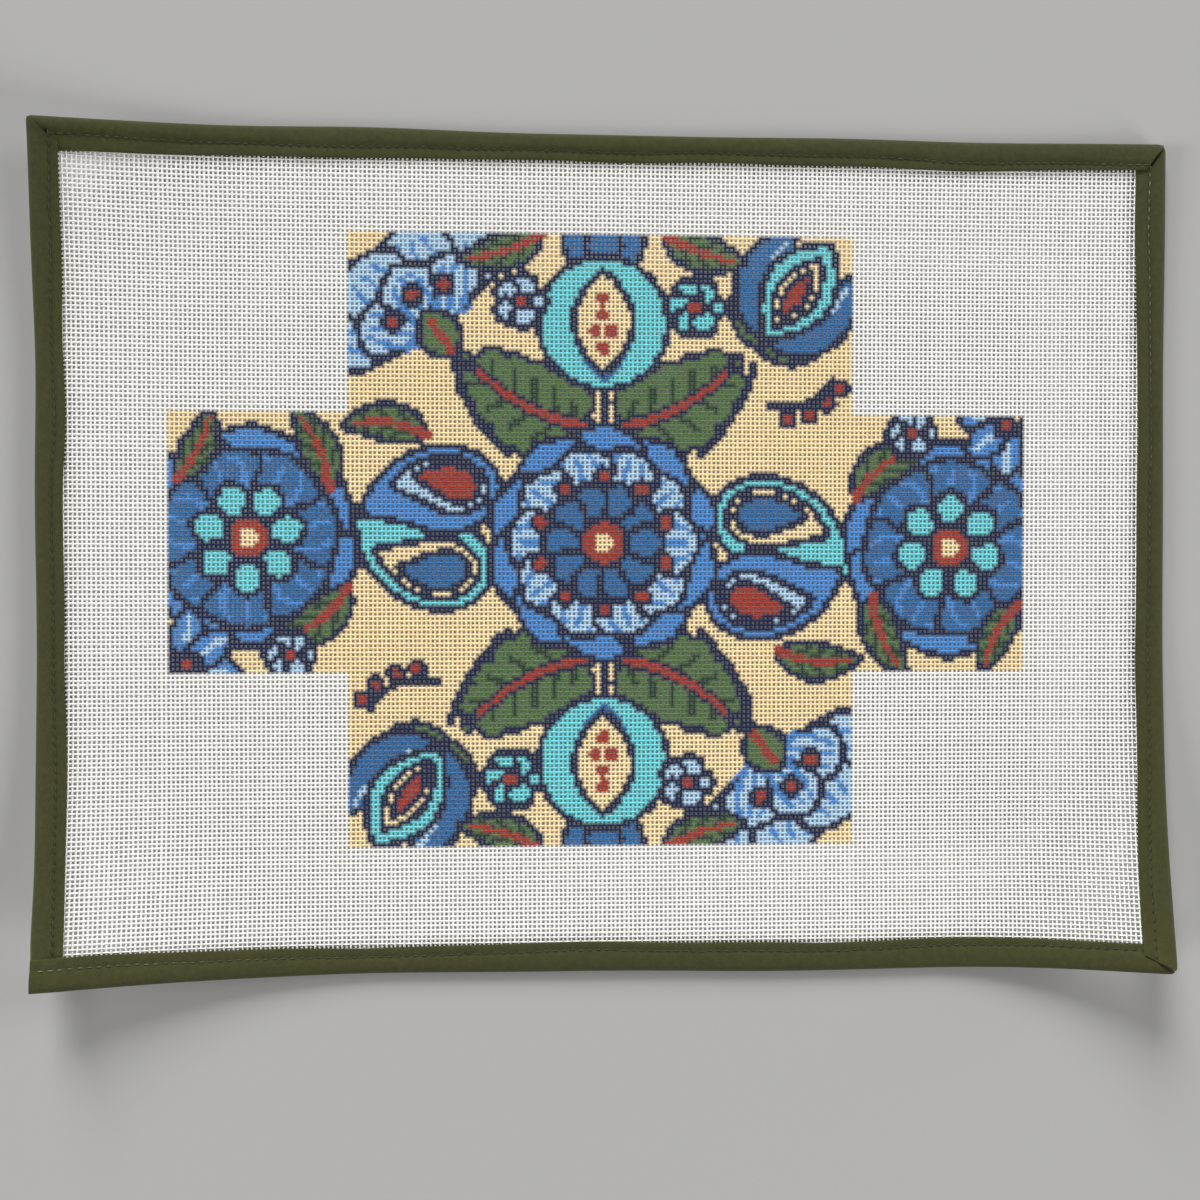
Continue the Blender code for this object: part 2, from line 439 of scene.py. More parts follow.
class PaintedMesh:
    """The design as one colour for each crossing of the threads, painted motif by motif."""

    def __init__(self, across, up):
        self.across, self.up = np.meshgrid(across, up)
        self.colour = np.ones(self.across.shape + (3,))
        self.painted = np.zeros(self.across.shape)

    def near(self, points, margin):
        """The crossings round some points, as a patch of rows and columns."""
        low = points.min(axis=0) - margin
        high = points.max(axis=0) + margin
        columns = np.flatnonzero((self.across[0] >= low[0]) & (self.across[0] <= high[0]))
        rows = np.flatnonzero((self.up[:, 0] >= low[1]) & (self.up[:, 0] <= high[1]))
        if not len(columns) or not len(rows):
            return None
        return slice(rows[0], rows[-1] + 1), slice(columns[0], columns[-1] + 1)

    def away(self, points, patch):
        """How far each crossing in the patch is from a line through the points, and how far along it."""
        here = np.stack([self.across[patch], self.up[patch]], axis=-1)[..., None, :]
        start, run = points[:-1], np.diff(points, axis=0)
        length2 = np.maximum((run**2).sum(axis=-1), 1e-9)
        share = np.clip(((here - start) * run).sum(axis=-1) / length2, 0, 1)
        gap = here - (start + share[..., None] * run)
        away = np.sqrt((gap**2).sum(axis=-1))
        return away.min(axis=-1), away.argmin(axis=-1) / len(run)

    def fill(self, outline, colour, line_width=OUTLINE_WIDTH):
        """Paints inside a closed outline, then draws a navy line round it, if the line has a width."""
        closed = np.vstack([outline, outline[:1]])
        patch = self.near(closed, line_width)
        if patch is None:
            return
        x, y = self.across[patch][..., None], self.up[patch][..., None]
        start, end = closed[:-1], closed[1:]
        spans = (start[:, 1] > y) != (end[:, 1] > y)
        rise = np.where(end[:, 1] == start[:, 1], 1e-9, end[:, 1] - start[:, 1])
        crossing = start[:, 0] + (y - start[:, 1]) / rise * (end[:, 0] - start[:, 0])
        inside = (spans & (x < crossing)).sum(axis=-1) % 2 == 1
        self.colour[patch][inside] = colour
        if line_width:
            away, _share = self.away(closed, patch)
            self.colour[patch][away < line_width / 2] = NAVY

    def spot(self, centre, radius, colour=BRICK_RED, line_width=OUTLINE_WIDTH):
        """Paints a round spot."""
        around = np.linspace(0, 2 * math.pi, 40, endpoint=False)
        outline = np.asarray(centre) + radius * np.stack([np.cos(around), np.sin(around)], axis=-1)
        self.fill(outline, colour, line_width)

    def stroke(self, points, colour, width, tip_width=None):
        """One brush stroke along the points, from width at its start to tip_width at its end."""
        patch = self.near(points, width)
        if patch is None:
            return
        away, share = self.away(points, patch)
        reach = width / 2 + ((tip_width or width) - width) / 2 * share
        self.colour[patch][away < reach] = colour


def arc(base, angle, length, bend, side=0.0, width=0.0, fullest=0.5, start=0.0, end=1.0, steps=24):
    """Points along a petal's or leaf's own curved line, at a share of its half width to one side."""
    share = np.linspace(0, 1, 49)
    heading = angle + bend * share
    spine = np.cumsum(np.stack([np.cos(heading), np.sin(heading)], axis=-1) * length / 48, axis=0)
    spine = np.asarray(base) + spine - spine[:1]
    half = width / 2 * np.sin(math.pi * share ** (math.log(0.5) / math.log(fullest))) ** 0.8
    normal = np.stack([-np.sin(heading), np.cos(heading)], axis=-1)
    line = spine + normal * (half * side)[:, None]
    wanted = np.linspace(start, end, steps)
    return np.stack([np.interp(wanted, share, line[:, axis]) for axis in (0, 1)], axis=-1)


def blade(base, angle, length, width, bend=0.0, fullest=0.5):
    """The outline of one petal or leaf."""
    left = arc(base, angle, length, bend, 1, width, fullest)
    right = arc(base, angle, length, bend, -1, width, fullest)
    return np.vstack([left, right[::-1]])


def ahead_of(base, angle, ahead, aside=0.0):
    """A point ahead of a base and to its left, for a motif that faces an angle."""
    return (base[0] + ahead * math.cos(angle) - aside * math.sin(angle),
            base[1] + ahead * math.sin(angle) + aside * math.cos(angle))


def lobed_leaf(mesh, base, angle, length, width, bend):
    """A broad leaf with round lobes down both sides, a vein to each and a red rib."""
    body = width * 0.62
    lobes = []
    veins = []
    for number in range(1, 6):
        share = number / 6
        for side in (-1, 1):
            edge = arc(base, angle, length, bend, side * 1.05, body, 0.42, share, share, 1)[0]
            lobes.append((edge, width * (0.24 - 0.09 * share)))
            start = arc(base, angle, length, bend, 0, body, 0.42, share - 0.1, share - 0.1, 1)[0]
            veins.append(np.array([start, edge]))
    # the whole leaf in the line's colour first, then in its own, so that no line parts the lobes
    for colour, line_width in ((NAVY, 1.6 * OUTLINE_WIDTH), (LEAF_GREEN, 0)):
        mesh.fill(blade(base, angle, length, body, bend, 0.42), colour, line_width)
        for edge, radius in lobes:
            mesh.spot(edge, radius, colour, line_width)
    for vein in veins:
        mesh.stroke(vein, DARK_GREEN, 1.5)
    mesh.stroke(arc(base, angle, length, bend, end=0.92, steps=40), NAVY, 3.8, 2.6)
    mesh.stroke(arc(base, angle, length, bend, end=0.86, steps=40), BRICK_RED, 2.0, 1.2)


def leaf(mesh, base, angle, length, bend):
    """A green leaf with a red rib and darker veins."""
    width = length * 0.42
    mesh.fill(blade(base, angle, length, width, bend, 0.42), LEAF_GREEN)
    for side in (-1, 1):
        for start in (0.18, 0.38, 0.58):
            inner = arc(base, angle, length, bend, 0, width, 0.42, start, start, 1)[0]
            outer = arc(base, angle, length, bend, side * 0.72, width, 0.42, start + 0.2, start + 0.2, 1)[0]
            mesh.stroke(np.array([inner, outer]), DARK_GREEN, 1.3)
    mesh.stroke(arc(base, angle, length, bend, end=0.86), BRICK_RED, 2.2, 1.0)


def teardrop(mesh, base, angle, length, bend, colours):
    """A teardrop that curls over at its tip, in bands from its rim inwards."""
    width = length * 0.6
    for band, colour in enumerate(colours):
        shrink = 0.68**band
        start = ahead_of(base, angle, 0.3 * length * (1 - shrink))
        mesh.fill(blade(start, angle, length * shrink, width * shrink**1.2, bend * shrink, 0.36), colour)


def petal_streaks(mesh, base, angle, length, width):
    for side in (-0.55, 0.0, 0.55):
        mesh.stroke(arc(base, angle, length, 0, side, width, 0.6, 0.3, 0.84), MID_BLUE, 1.7, 1.0)


def full_flower(mesh, centre, radius, petals, outer, inner, turn):
    """A full-blown flower: a ring of wide petals, a ring of small ones between them, and a round red eye."""
    step = 2 * math.pi / petals
    for ring, (reach, colour) in enumerate(((0.8, MID_BLUE), (0.62, outer))):
        for number in range(petals):
            angle = turn + (number + ring / 2) * step
            base = ahead_of(centre, angle, radius * 0.2)
            width = 2.35 * radius * reach / 0.8 * math.sin(step / 2)
            mesh.fill(blade(base, angle, radius * reach, width, 0, 0.66), colour)
            if ring:
                petal_streaks(mesh, base, angle, radius * reach, width)
    for number in range(petals):
        angle = turn + (number + 0.5) * step
        base = ahead_of(centre, angle, radius * 0.12)
        mesh.fill(blade(base, angle, radius * 0.4, radius * 0.3, 0, 0.62), inner)
    mesh.spot(centre, radius * 0.2)
    mesh.spot(centre, radius * 0.08, CREAM, 0)


def small_flower(mesh, centre, radius, petals, colour):
    for number in range(petals):
        mesh.spot(ahead_of(centre, number * 2 * math.pi / petals, radius * 0.58), radius * 0.46, colour)
    mesh.spot(centre, radius * 0.3, line_width=FINE_LINE)


def tulip(mesh, base, angle, size):
    """A tulip between two green leaves: curled side petals round a heart with a red flame."""
    for side in (-1, 1):
        foot = ahead_of(base, angle, -2.5)
        mesh.fill(blade(foot, angle + side * 1.25, size * 0.7, size * 0.26, -side * 1.0), LEAF_GREEN)
        mesh.fill(blade(base, angle + side * 0.95, size * 1.1, size * 0.5, -side * 1.2, 0.45), DEEP_BLUE)
        mesh.stroke(arc(base, angle + side * 0.95, size * 0.95, -side * 1.1, start=0.3), PALE_BLUE, 1.8, 1.0)
    mesh.fill(blade(base, angle, size * 1.05, size * 0.66, 0, 0.52), TURQUOISE)
    mesh.fill(blade(ahead_of(base, angle, size * 0.14), angle, size * 0.74, size * 0.36), CREAM)
    mesh.fill(blade(ahead_of(base, angle, size * 0.24), angle, size * 0.5, size * 0.18), BRICK_RED)


def fan_flower(mesh, base, angle, size):
    """A carnation seen from the side: two rows of streaked petals over a green cup."""
    for row, count in enumerate((4, 3)):
        reach = size * (1.0 - 0.26 * row)
        spread = 2.3 / count
        order = sorted(range(count), key=lambda number: -abs(number - (count - 1) / 2))
        for number in order:
            heading = angle + (number - (count - 1) / 2) * spread
            mesh.fill(blade(base, heading, reach, reach * 0.66, 0, 0.74), PALE_BLUE)
            petal_streaks(mesh, base, heading, reach, reach * 0.6)
    for number in (-1, 0, 1):
        mesh.spot(ahead_of(base, angle + number * 0.62, size * 0.46), size * 0.075)
    mesh.fill(blade(ahead_of(base, angle, -size * 0.16), angle, size * 0.46, size * 0.36), LEAF_GREEN)
    rib = np.array([ahead_of(base, angle, -size * 0.08), ahead_of(base, angle, size * 0.2)])
    mesh.stroke(rib, BRICK_RED, 2)


def bellflower(mesh, base, angle, size):
    for side in (-1, 1, 0):
        mesh.fill(blade(base, angle + side * 0.5, size, size * 0.5, side * 0.45, 0.6), MID_BLUE)
        mesh.stroke(arc(base, angle + side * 0.5, size, side * 0.45, start=0.5, end=0.85), PALE_BLUE, 1.6)
    mesh.fill(blade(ahead_of(base, angle, -1), angle, size * 0.5, size * 0.4), CREAM)
    mesh.spot(ahead_of(base, angle, size * 0.2), size * 0.12, line_width=FINE_LINE)


def stem(mesh, base, angle, length, bend):
    mesh.stroke(arc(base, angle, length, bend, steps=30), NAVY, 2.2)


def berries(mesh, base, angle, length, bend):
    """A curled sprig with red berries down its outer side."""
    stem(mesh, base, angle, length, bend)
    line = arc(base, angle, length, bend, steps=5)
    run = np.gradient(line, axis=0)
    for number in range(1, 5):
        across = math.atan2(run[number, 1], run[number, 0]) - math.copysign(math.pi / 2, bend)
        mesh.spot(ahead_of(line[number], across, 2.4), 1.7, line_width=FINE_LINE)


def pomegranate(mesh, base, angle, size):
    """A ripe fruit: a round turquoise body, its crown, and red seeds in a cream heart."""
    middle = ahead_of(base, angle, size * 0.46)
    for number in (-1, 1, 0):
        crown = ahead_of(middle, angle, size * 0.34)
        mesh.fill(blade(crown, angle + number * 0.6, size * 0.44, size * 0.26, number * 0.3), DEEP_BLUE)
    mesh.spot(middle, size * 0.48, TURQUOISE)
    for side in (-1, 1):
        foot = ahead_of(base, angle, size * 0.06)
        mesh.stroke(arc(foot, angle + side * 0.95, size * 0.86, -side * 1.8), DEEP_BLUE, 1.8)
    mesh.fill(blade(ahead_of(base, angle, size * 0.1), angle, size * 0.74, size * 0.44), CREAM)
    for ahead, aside in ((0.28, 0), (0.4, -0.06), (0.4, 0.06), (0.52, 0), (0.64, 0)):
        mesh.spot(ahead_of(base, angle, size * ahead, size * aside), size * 0.05, line_width=0)


def paint_half(mesh, turn):
    """Half of the design; the other half is the same turned by half a circle."""
    def at(x, y):
        return ahead_of((0, 0), turn, x, y)

    # over the medallion: a pomegranate between two lobed leaves
    lobed_leaf(mesh, at(3, 26), turn + 0.12, 33, 19, 0.75)
    lobed_leaf(mesh, at(-3, 26), turn + math.pi - 0.12, 33, 19, -0.75)
    stem(mesh, at(0, 20), turn + math.pi / 2, 18, 0.0)
    # the four corners of the middle block
    stem(mesh, at(22, 20), turn + 0.7, 24, 0.6)
    tulip(mesh, at(37, 46), turn + 0.95, 25)
    stem(mesh, at(-22, 20), turn + 2.4, 24, -0.6)
    fan_flower(mesh, at(-36, 45), turn + 2.2, 27)
    leaf(mesh, at(14, 69), turn - 0.55, 20, 0.5)
    leaf(mesh, at(-14, 69), turn + math.pi + 0.55, 20, -0.5)
    pomegranate(mesh, at(0, 35), turn + math.pi / 2, 31)
    small_flower(mesh, at(21, 53), 6.5, 6, TURQUOISE)
    small_flower(mesh, at(-19, 54), 6, 5, PALE_BLUE)
    # between the medallion and the side arm
    teardrop(mesh, at(25, 3), turn + 0.35, 36, -1.35, (TURQUOISE, CREAM, DEEP_BLUE))
    teardrop(mesh, at(24, -8), turn - 0.55, 33, 1.2, (MID_BLUE, PALE_BLUE, BRICK_RED))
    berries(mesh, at(38, 31), turn - 0.3, 17, 1.3)
    leaf(mesh, at(-40, 24), turn + math.pi - 0.5, 20, 0.8)
    # the side arm
    full_flower(mesh, at(80, -1), 25, 7, DEEP_BLUE, TURQUOISE, turn + 0.2)
    leaf(mesh, at(58, 10), turn + 1.1, 22, -1.0)
    leaf(mesh, at(62, -12), turn - 1.5, 20, 0.7)
    leaf(mesh, at(96, -14), turn + 3.9, 18, 0.7)
    bellflower(mesh, at(96, 29), turn - 2.5, 15)
    small_flower(mesh, at(71, 25), 5.5, 6, PALE_BLUE)


def paint_design(sizes):
    """A medallion with fruit, leaves and flowers round it, on cream, within the cross."""
    across = (np.arange(sizes.warps) - (sizes.warps - 1) / 2) - CROSS_PLACE[0] / sizes.pitch_across
    up = (np.arange(sizes.wefts) - (sizes.wefts - 1) / 2) - CROSS_PLACE[1] / sizes.pitch_up
    mesh = PaintedMesh(across, up)
    mesh.colour[...] = CREAM
    for turn in (0.0, math.pi):
        paint_half(mesh, turn)
    full_flower(mesh, (0, 0), 27, 10, PALE_BLUE, DEEP_BLUE, math.pi / 10)
    for number in range(10):
        mesh.spot(ahead_of((0, 0), (number + 0.5) * math.pi / 5, 15), 1.9, line_width=FINE_LINE)
    tall = (abs(mesh.across) <= CENTRE_WIDTH / 2) & (abs(mesh.up) <= CROSS_HEIGHT / 2)
    wide = (abs(mesh.across) <= CROSS_WIDTH / 2) & (abs(mesh.up) <= CENTRE_HEIGHT / 2)
    mesh.painted[tall | wide] = 1
    return mesh


class CANVASPANEL_OT_weave(bpy.types.Operator):
    """Weave the canvas over and under, thread by thread, and paint it"""

    bl_idname = "canvas_panel.weave"
    bl_label = "Weave and paint the canvas"

    def execute(self, context):
        sizes = context.scene.canvas_weave
        paint = paint_design(sizes)
        material = canvas_material()
        for name, upright, count in (("warp", True, sizes.warps), ("weft", False, sizes.wefts)):
            half = (count + 1) // 2
            lay_threads(sizes, f"canvas_{name}_threads_1", upright, 0, half, paint, material)
            lay_threads(sizes, f"canvas_{name}_threads_2", upright, half, count - half, paint, material)
        return {"FINISHED"}


# The binding

Run = namedtuple("Run", (
    "name",
    "way",  # along the run
    "out",  # out of the panel
    "half",  # its length
    "across",  # half the panel across it
    "stitching",  # how far in from its inner edge it is sewn, in mm: place along it, distance
    "inner_bulges",  # where its inner edge bulges over the canvas, in mm: place, reach each way, how far
    "outer_bulges",  # the same for its outer edge, outwards
    "lip",  # how far its inner edge passes the next run's at the mitre
    "raised",  # how far its mitre stands off the next run
    "lip_before",  # the lip that its own start lies under
    "thread_light",  # how light its stitches look at its start and at its end
))
RUNS = (
    Run(
        "left", (0, 1), (-1, 0), PANEL_HEIGHT / 2, PANEL_WIDTH / 2, ((-186, 4.6), (100, 4.6), (186, 3.5)),
        ((-186, 60, 2.2), (-110, 40, 1.2), (62, 25, 1.3), (186, 70, 0.3)),
        ((-186, 14, -1.6), (-150, 40, -0.8), (80, 40, -0.7)), 1.5 * MM, 0.7 * MM, 0, (0.25, 0.25)),
    Run(
        "top", (1, 0), (0, 1), PANEL_WIDTH / 2, PANEL_HEIGHT / 2,
        ((-250, 7.4), (-220, 6.6), (-180, 5.2), (-120, 4.4), (140, 4.2), (204, 3.2), (240, 2.2)),
        ((-250, 85, 2.3), (0, 30, 0.9), (165, 40, 1.9)), ((-107, 60, 1.2), (165, 50, -0.6)),
        3.6 * MM, 0.55 * MM, 1.5 * MM, (0.35, 0.7)),
    Run(
        "right", (0, -1), (1, 0), PANEL_HEIGHT / 2, PANEL_WIDTH / 2, ((-186, 6), (186, 4.9)),
        ((-150, 40, 1.4), (150, 35, 1.8)), ((25, 60, 0.9),), 4.7 * MM, 1.1 * MM, 3.6 * MM, (1.35, 0.25)),
    Run(
        "bottom", (-1, 0), (0, -1), PANEL_WIDTH / 2, PANEL_HEIGHT / 2, ((-250, 2.7), (250, 4.4)),
        ((-160, 30, 1.3), (25, 50, 1.2), (250, 50, 0.6)), ((-230, 50, 0.8), (-100, 60, 1.1), (250, 70, 1.5)),
        0, 0, 4.7 * MM, (0.25, 1.15)),
)
# corner, side along X, side along Y, radius of the tape's rounded outer corner
ROUNDED_CORNERS = (
    ("top left", -1, 1, 2.5 * MM),
    ("top right", 1, 1, 4 * MM),
    ("bottom right", 1, -1, 3 * MM),
)


def face_height(sizes):
    """How high the middle of the tape's cloth lies off the canvas's middle."""
    return (TAPE_GAP + sizes.ply * 1.6) * FACE_SWELL


def tape_profile(sizes):
    """The tape's section, from one turned-in raw edge to the other: inset, and height off the canvas."""
    inner = TAPE_FACE - sizes.ply / 2
    lower, upper = TAPE_GAP + sizes.ply / 2, TAPE_GAP + sizes.ply * 1.6
    turned = [
        (inner - sizes.turned_in, lower), (inner - 0.35 * MM, lower), (inner - EDGE_SOFTNESS, lower * 1.1),
        (inner, (lower + upper) / 2), (inner - EDGE_SOFTNESS, upper * 0.97), (inner - 0.4 * MM, upper * 1.03)]
    face = face_height(sizes)
    turns = [math.pi * step / FOLD_STEPS for step in range(FOLD_STEPS + 1)]
    fold_reach = CUT_INSET - sizes.ply / 2
    fold = [(CUT_INSET - fold_reach * math.sin(turn), face * math.cos(turn)) for turn in turns]
    top = turned + [(inset * MM, face) for inset in FACE_INSETS]
    return np.array(top + fold + [(inset, -height) for inset, height in reversed(top)])


def tape_wobble(run, along):
    """How unevenly the tape's edges run: the inner edge's and the outer edge's way off straight."""
    inner, outer = np.zeros_like(along), np.zeros_like(along)
    for edge, waves in ((inner, INNER_WAVES), (outer, OUTER_WAVES)):
        for amount, reach, shift in waves:
            edge += amount * np.sin(along / reach + shift * RUN_SHIFT * RUNS.index(run))
    for place, reach, amount in np.array(run.inner_bulges) * MM:
        inner -= amount * np.exp(-((along - place) / reach) ** 2)
    for place, reach, amount in np.array(run.outer_bulges) * MM:
        outer += amount * np.exp(-((along - place) / reach) ** 2)
    return inner, outer


def stitch_inset(run, along):
    """The stitching's distance in from the outer edge."""
    places, distances = np.array(run.stitching).T * MM
    from_inner = np.interp(along, places, distances)
    # the face bulges by the square of the share of the way in, see tape_places
    bulge = -tape_wobble(run, along)[0]
    bulge = np.where(abs(bulge) < 1e-6, 1e-6, bulge)
    root = np.sqrt(TAPE_FACE**2 + 4 * bulge * (TAPE_FACE + bulge - from_inner))
    return TAPE_FACE * (root - TAPE_FACE) / (2 * bulge)


def tape_height(run, along, inset, height, stitches):
    """The height off the canvas, with the dents at the stitches, the swelling and the laps at the corners."""
    seam = stitch_inset(run, along)
    beat = 0.6 + 0.4 * np.cos(2 * math.pi * along / stitches.pitch)
    dent = STITCH_DENT * beat * np.exp(-((inset - seam) / DENT_REACH) ** 2)
    swell = np.clip((inset - CUT_INSET / 2) / (seam - CUT_INSET / 2), 0, 1)
    puff = PUFF * np.sin(math.pi * swell) ** 0.8
    fall = FLANGE_FALL * np.clip((inset - seam) / (TAPE_FACE - seam), 0, 1)
    lump = LUMPS * np.sin(along / (9 * MM) + inset / (3 * MM)) * np.sin(along / (23 * MM) + 1)
    change = puff - dent - fall + lump * np.clip(inset / (4 * MM), 0, 1)
    to_end = run.half - inset - along
    from_start = along + run.half - inset / (1 - run.lip_before / TAPE_FACE)
    change = change + run.raised * np.exp(-np.maximum(to_end, 0) / MITRE_REACH)
    if run.name != "left":
        change = change - START_DIP * np.exp(-np.maximum(from_start, 0) / START_REACH)
    if run.name == "bottom":
        lap_start = run.half - TAPE_FACE - LAST_END_REACH
        over_start = np.clip((along - lap_start) / LAST_END_REACH, 0, 1)
        change = change + LAST_END_LIFT * over_start**2 * (3 - 2 * over_start)
    return height + np.where(height > 0, change, -UNDERSIDE_SHARE * change)


def run_ends(run, inset, sizes):
    """Where a run starts and ends along its side, for each inset: cut square or on the mitre."""
    inward = np.clip(inset / TAPE_FACE, 0, 1)
    start = -(run.half - inset) - sizes.underlap * np.clip((inset - CUT_INSET) / (4 * MM), 0, 1)
    end = run.half - inset + run.lip * inward ** (1 if run.name == "right" else 2)
    if run.name == "left":
        start = np.full_like(inset, -(run.half - CUT_INSET))
    if run.name == "right":
        end = end - OPEN_MITRE * (1 - inward) * np.clip(inset / (2 * MM), 0, 1)
    if run.name == "bottom":
        start = start - OPEN_MITRE * np.clip(inset / (1 * MM), 0, 1)
        end = np.full_like(inset, run.half - LAST_END_CUT)
    return start, end


def rounded(x, y):
    """Moves points near an outer corner in, so that the corner is round."""
    for _corner, side_x, side_y, radius in ROUNDED_CORNERS:
        off_x = radius - (PANEL_WIDTH / 2 - side_x * x)
        off_y = radius - (PANEL_HEIGHT / 2 - side_y * y)
        inside = (off_x > 0) & (off_y > 0)
        square = np.maximum(off_x, off_y)
        shrink = np.where(inside, square / np.maximum(np.hypot(off_x, off_y), 1e-9), 1)
        x = np.where(inside, x - side_x * off_x * (1 - shrink), x)
        y = np.where(inside, y - side_y * off_y * (1 - shrink), y)
    return x, y


def tape_places(run, along, inset, height, stitches):
    """Points of the tape: along a run, in from the outer edge, and off the canvas."""
    inner, outer = tape_wobble(run, along)
    share = np.clip(inset / TAPE_FACE, 0, 1)
    from_middle = run.across - inset + inner * share**2 + outer * (1 - share)
    height = tape_height(run, along, inset, height, stitches)
    x, y = (run.way[axis] * along + run.out[axis] * from_middle for axis in (0, 1))
    return on_cloth(*rounded(x, y), height)


def tape_run(run, sizes, stitches):
    """One side's length of the tape, folded over the canvas's edge."""
    half = run.half
    profile = tape_profile(sizes)
    columns = round(2 * half / (stitches.pitch / 2))
    start_primitive()
    bpy.ops.mesh.primitive_grid_add(x_subdivisions=columns, y_subdivisions=len(profile) - 1, size=1)
    piece = bpy.context.object
    piece.name = piece.data.name = f"tape_{run.name}"
    points = get_points(piece)
    column = np.rint((points[:, 0] + 0.5) * columns)
    row = np.rint((points[:, 1] + 0.5) * (len(profile) - 1)).astype(int)
    inset, height = profile[row, 0], profile[row, 1]
    start, end = run_ends(run, inset, sizes)
    # columns stand square to the edge, and close up or spread only near a corner
    along = half * (2 * column / columns - 1)
    straight = half - sizes.mitre_length
    near_start = np.clip((-straight - along) / sizes.mitre_length, 0, 1)
    near_end = np.clip((along - straight) / sizes.mitre_length, 0, 1)
    along = np.clip(along, -straight, straight)
    along = along + near_start * (start + straight) + near_end * (end - straight)
    set_points(piece, tape_places(run, along, inset, height, stitches))
    bpy.ops.object.modifier_add(type="SOLIDIFY")
    solid = piece.modifiers[-1]
    solid.thickness = sizes.ply
    solid.offset = 0
    bpy.ops.object.modifier_apply(modifier=solid.name)
    return piece


def join_as(name, pieces):
    start_primitive()
    for piece in pieces:
        piece.select_set(True)
    bpy.context.view_layer.objects.active = pieces[0]
    bpy.ops.object.join()
    pieces[0].name = pieces[0].data.name = name
    return pieces[0]


def tape_material(sizes):
    material, nodes, links, shader, place, height = cloth_nodes("olive twill tape", 0.6, 0.1 * MM)
    ribs = nodes.new("ShaderNodeTexWave")
    ribs.bands_direction = "DIAGONAL"
    ribs.inputs["Scale"].default_value = 900
    ribs.inputs["Distortion"].default_value = 1.2
    ribs.inputs["Detail Scale"].default_value = 2
    links.new(place, ribs.inputs["Vector"])
    patches = noise(nodes, links, place, 420, 5)
    fibres = noise(nodes, links, place, 1900, 3)
    mottle = combined(nodes, links, "ShaderNodeMath", "MULTIPLY", patches, fibres)
    dark = [0.8 * part for part in sizes.colour]
    links.new(toned(nodes, links, mottle, 0.08, dark, 0.5, sizes.worn_colour), shader.inputs["Base Color"])
    links.new(combined(nodes, links, "ShaderNodeMath", "ADD", ribs.outputs["Fac"], fibres), height)
    shader.inputs["Roughness"].default_value = 0.9
    shader.inputs["Specular IOR Level"].default_value = 0.3
    shader.inputs["Sheen Weight"].default_value = 0.08
    shader.inputs["Sheen Roughness"].default_value = 0.5
    return material


class CANVASPANEL_OT_bind(bpy.types.Operator):
    """Fold the tape over the canvas's cut edge, side by side, with its mitres and its lapped ends"""

    bl_idname = "canvas_panel.bind"
    bl_label = "Bind the edges"

    def execute(self, context):
        sizes, stitches = context.scene.canvas_tape, context.scene.canvas_stitches
        runs = [tape_run(run, sizes, stitches) for run in RUNS]
        binding = join_as("binding_tape", runs)
        bpy.ops.object.shade_smooth_by_angle(angle=math.radians(50))
        dress(binding, tape_material(sizes))
        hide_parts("binding")
        return {"FINISHED"}


# The stitching


def stitch_line(run, face, sizes, stitches):
    """The stitches of one side, on its upper or lower face: one modelled, repeated and laid on the tape."""
    count = 2 * int((run.half - CUT_INSET - STITCH_END_ROOM) / stitches.pitch)
    start_primitive()
    bpy.ops.mesh.primitive_uv_sphere_add(
        segments=6, ring_count=6, radius=MODEL_RADIUS, rotation=(0, math.pi / 2, 0))
    bpy.ops.object.transform_apply(location=True, rotation=True, scale=True)
    repeat(count, (1, 0, 0), False)
    piece = bpy.context.object
    points = get_points(piece)
    number = np.rint(points[:, 0])
    along_stitch = (points[:, 0] - number) / MODEL_RADIUS
    chance = np.random.default_rng(RUNS.index(run) + (10 if face > 0 else 20))
    uneven = chance.normal(0, STITCH_SHIFT, (count, 2))
    which = number.astype(int)
    aside, above = points[:, 1:].T / MODEL_RADIUS * stitches.thickness / 2
    along = (number - (count - 1) / 2) * stitches.pitch + along_stitch * stitches.length / 2
    if run.name == "bottom":
        along = along + stitches.pitch
    inset = stitch_inset(run, along) + aside + uneven[which, 0]
    rise, sink = (STITCH_RISE, STITCH_SINK) if face > 0 else (LOWER_RISE, LOWER_SINK)
    height = face * (face_height(sizes) + sizes.ply / 2 + rise - sink * along_stitch**2) + above
    set_points(piece, tape_places(run, along + uneven[which, 1], inset, height, stitches))
    light = THREAD_LIGHT + (run.thread_light[0] - THREAD_LIGHT) * np.exp(-(along + run.half) / LIGHT_REACH)
    light = light + (run.thread_light[1] - THREAD_LIGHT) * np.exp(-(run.half - along) / LIGHT_REACH)
    light = light * chance.uniform(0.7, 1.3, count)[which]
    # each stitch is painted darker towards its ends: painted shade where the thread sinks into the tape
    light = light * (0.3 + 0.7 * np.clip(1.35 - 1.5 * np.abs(along_stitch), 0, 1))
    lights = np.repeat(light[:, None], 4, axis=1)
    attribute = piece.data.attributes.new("thread_light", "FLOAT_COLOR", "POINT")
    attribute.data.foreach_set("color", lights.ravel())
    return piece


def thread_material(stitches):
    material, nodes, links, shader, place, height = cloth_nodes("olive sewing thread", 0.5, 0.06 * MM)
    twist = noise(nodes, links, place, 2400, 2)
    dark, pale = ([share * part for part in stitches.colour] for share in (0.6, 1.35))
    tone = toned(nodes, links, twist, 0, dark, 1, pale)
    # the stitches' lightness along each run, times the painted shade at each stitch's ends
    lit = nodes.new("ShaderNodeVertexColor")
    lit.layer_name = "thread_light"
    shade = combined(nodes, links, "ShaderNodeVectorMath", "MULTIPLY", tone, lit.outputs["Color"])
    links.new(shade, shader.inputs["Base Color"])
    links.new(twist, height)
    shader.inputs["Roughness"].default_value = 0.6
    return material


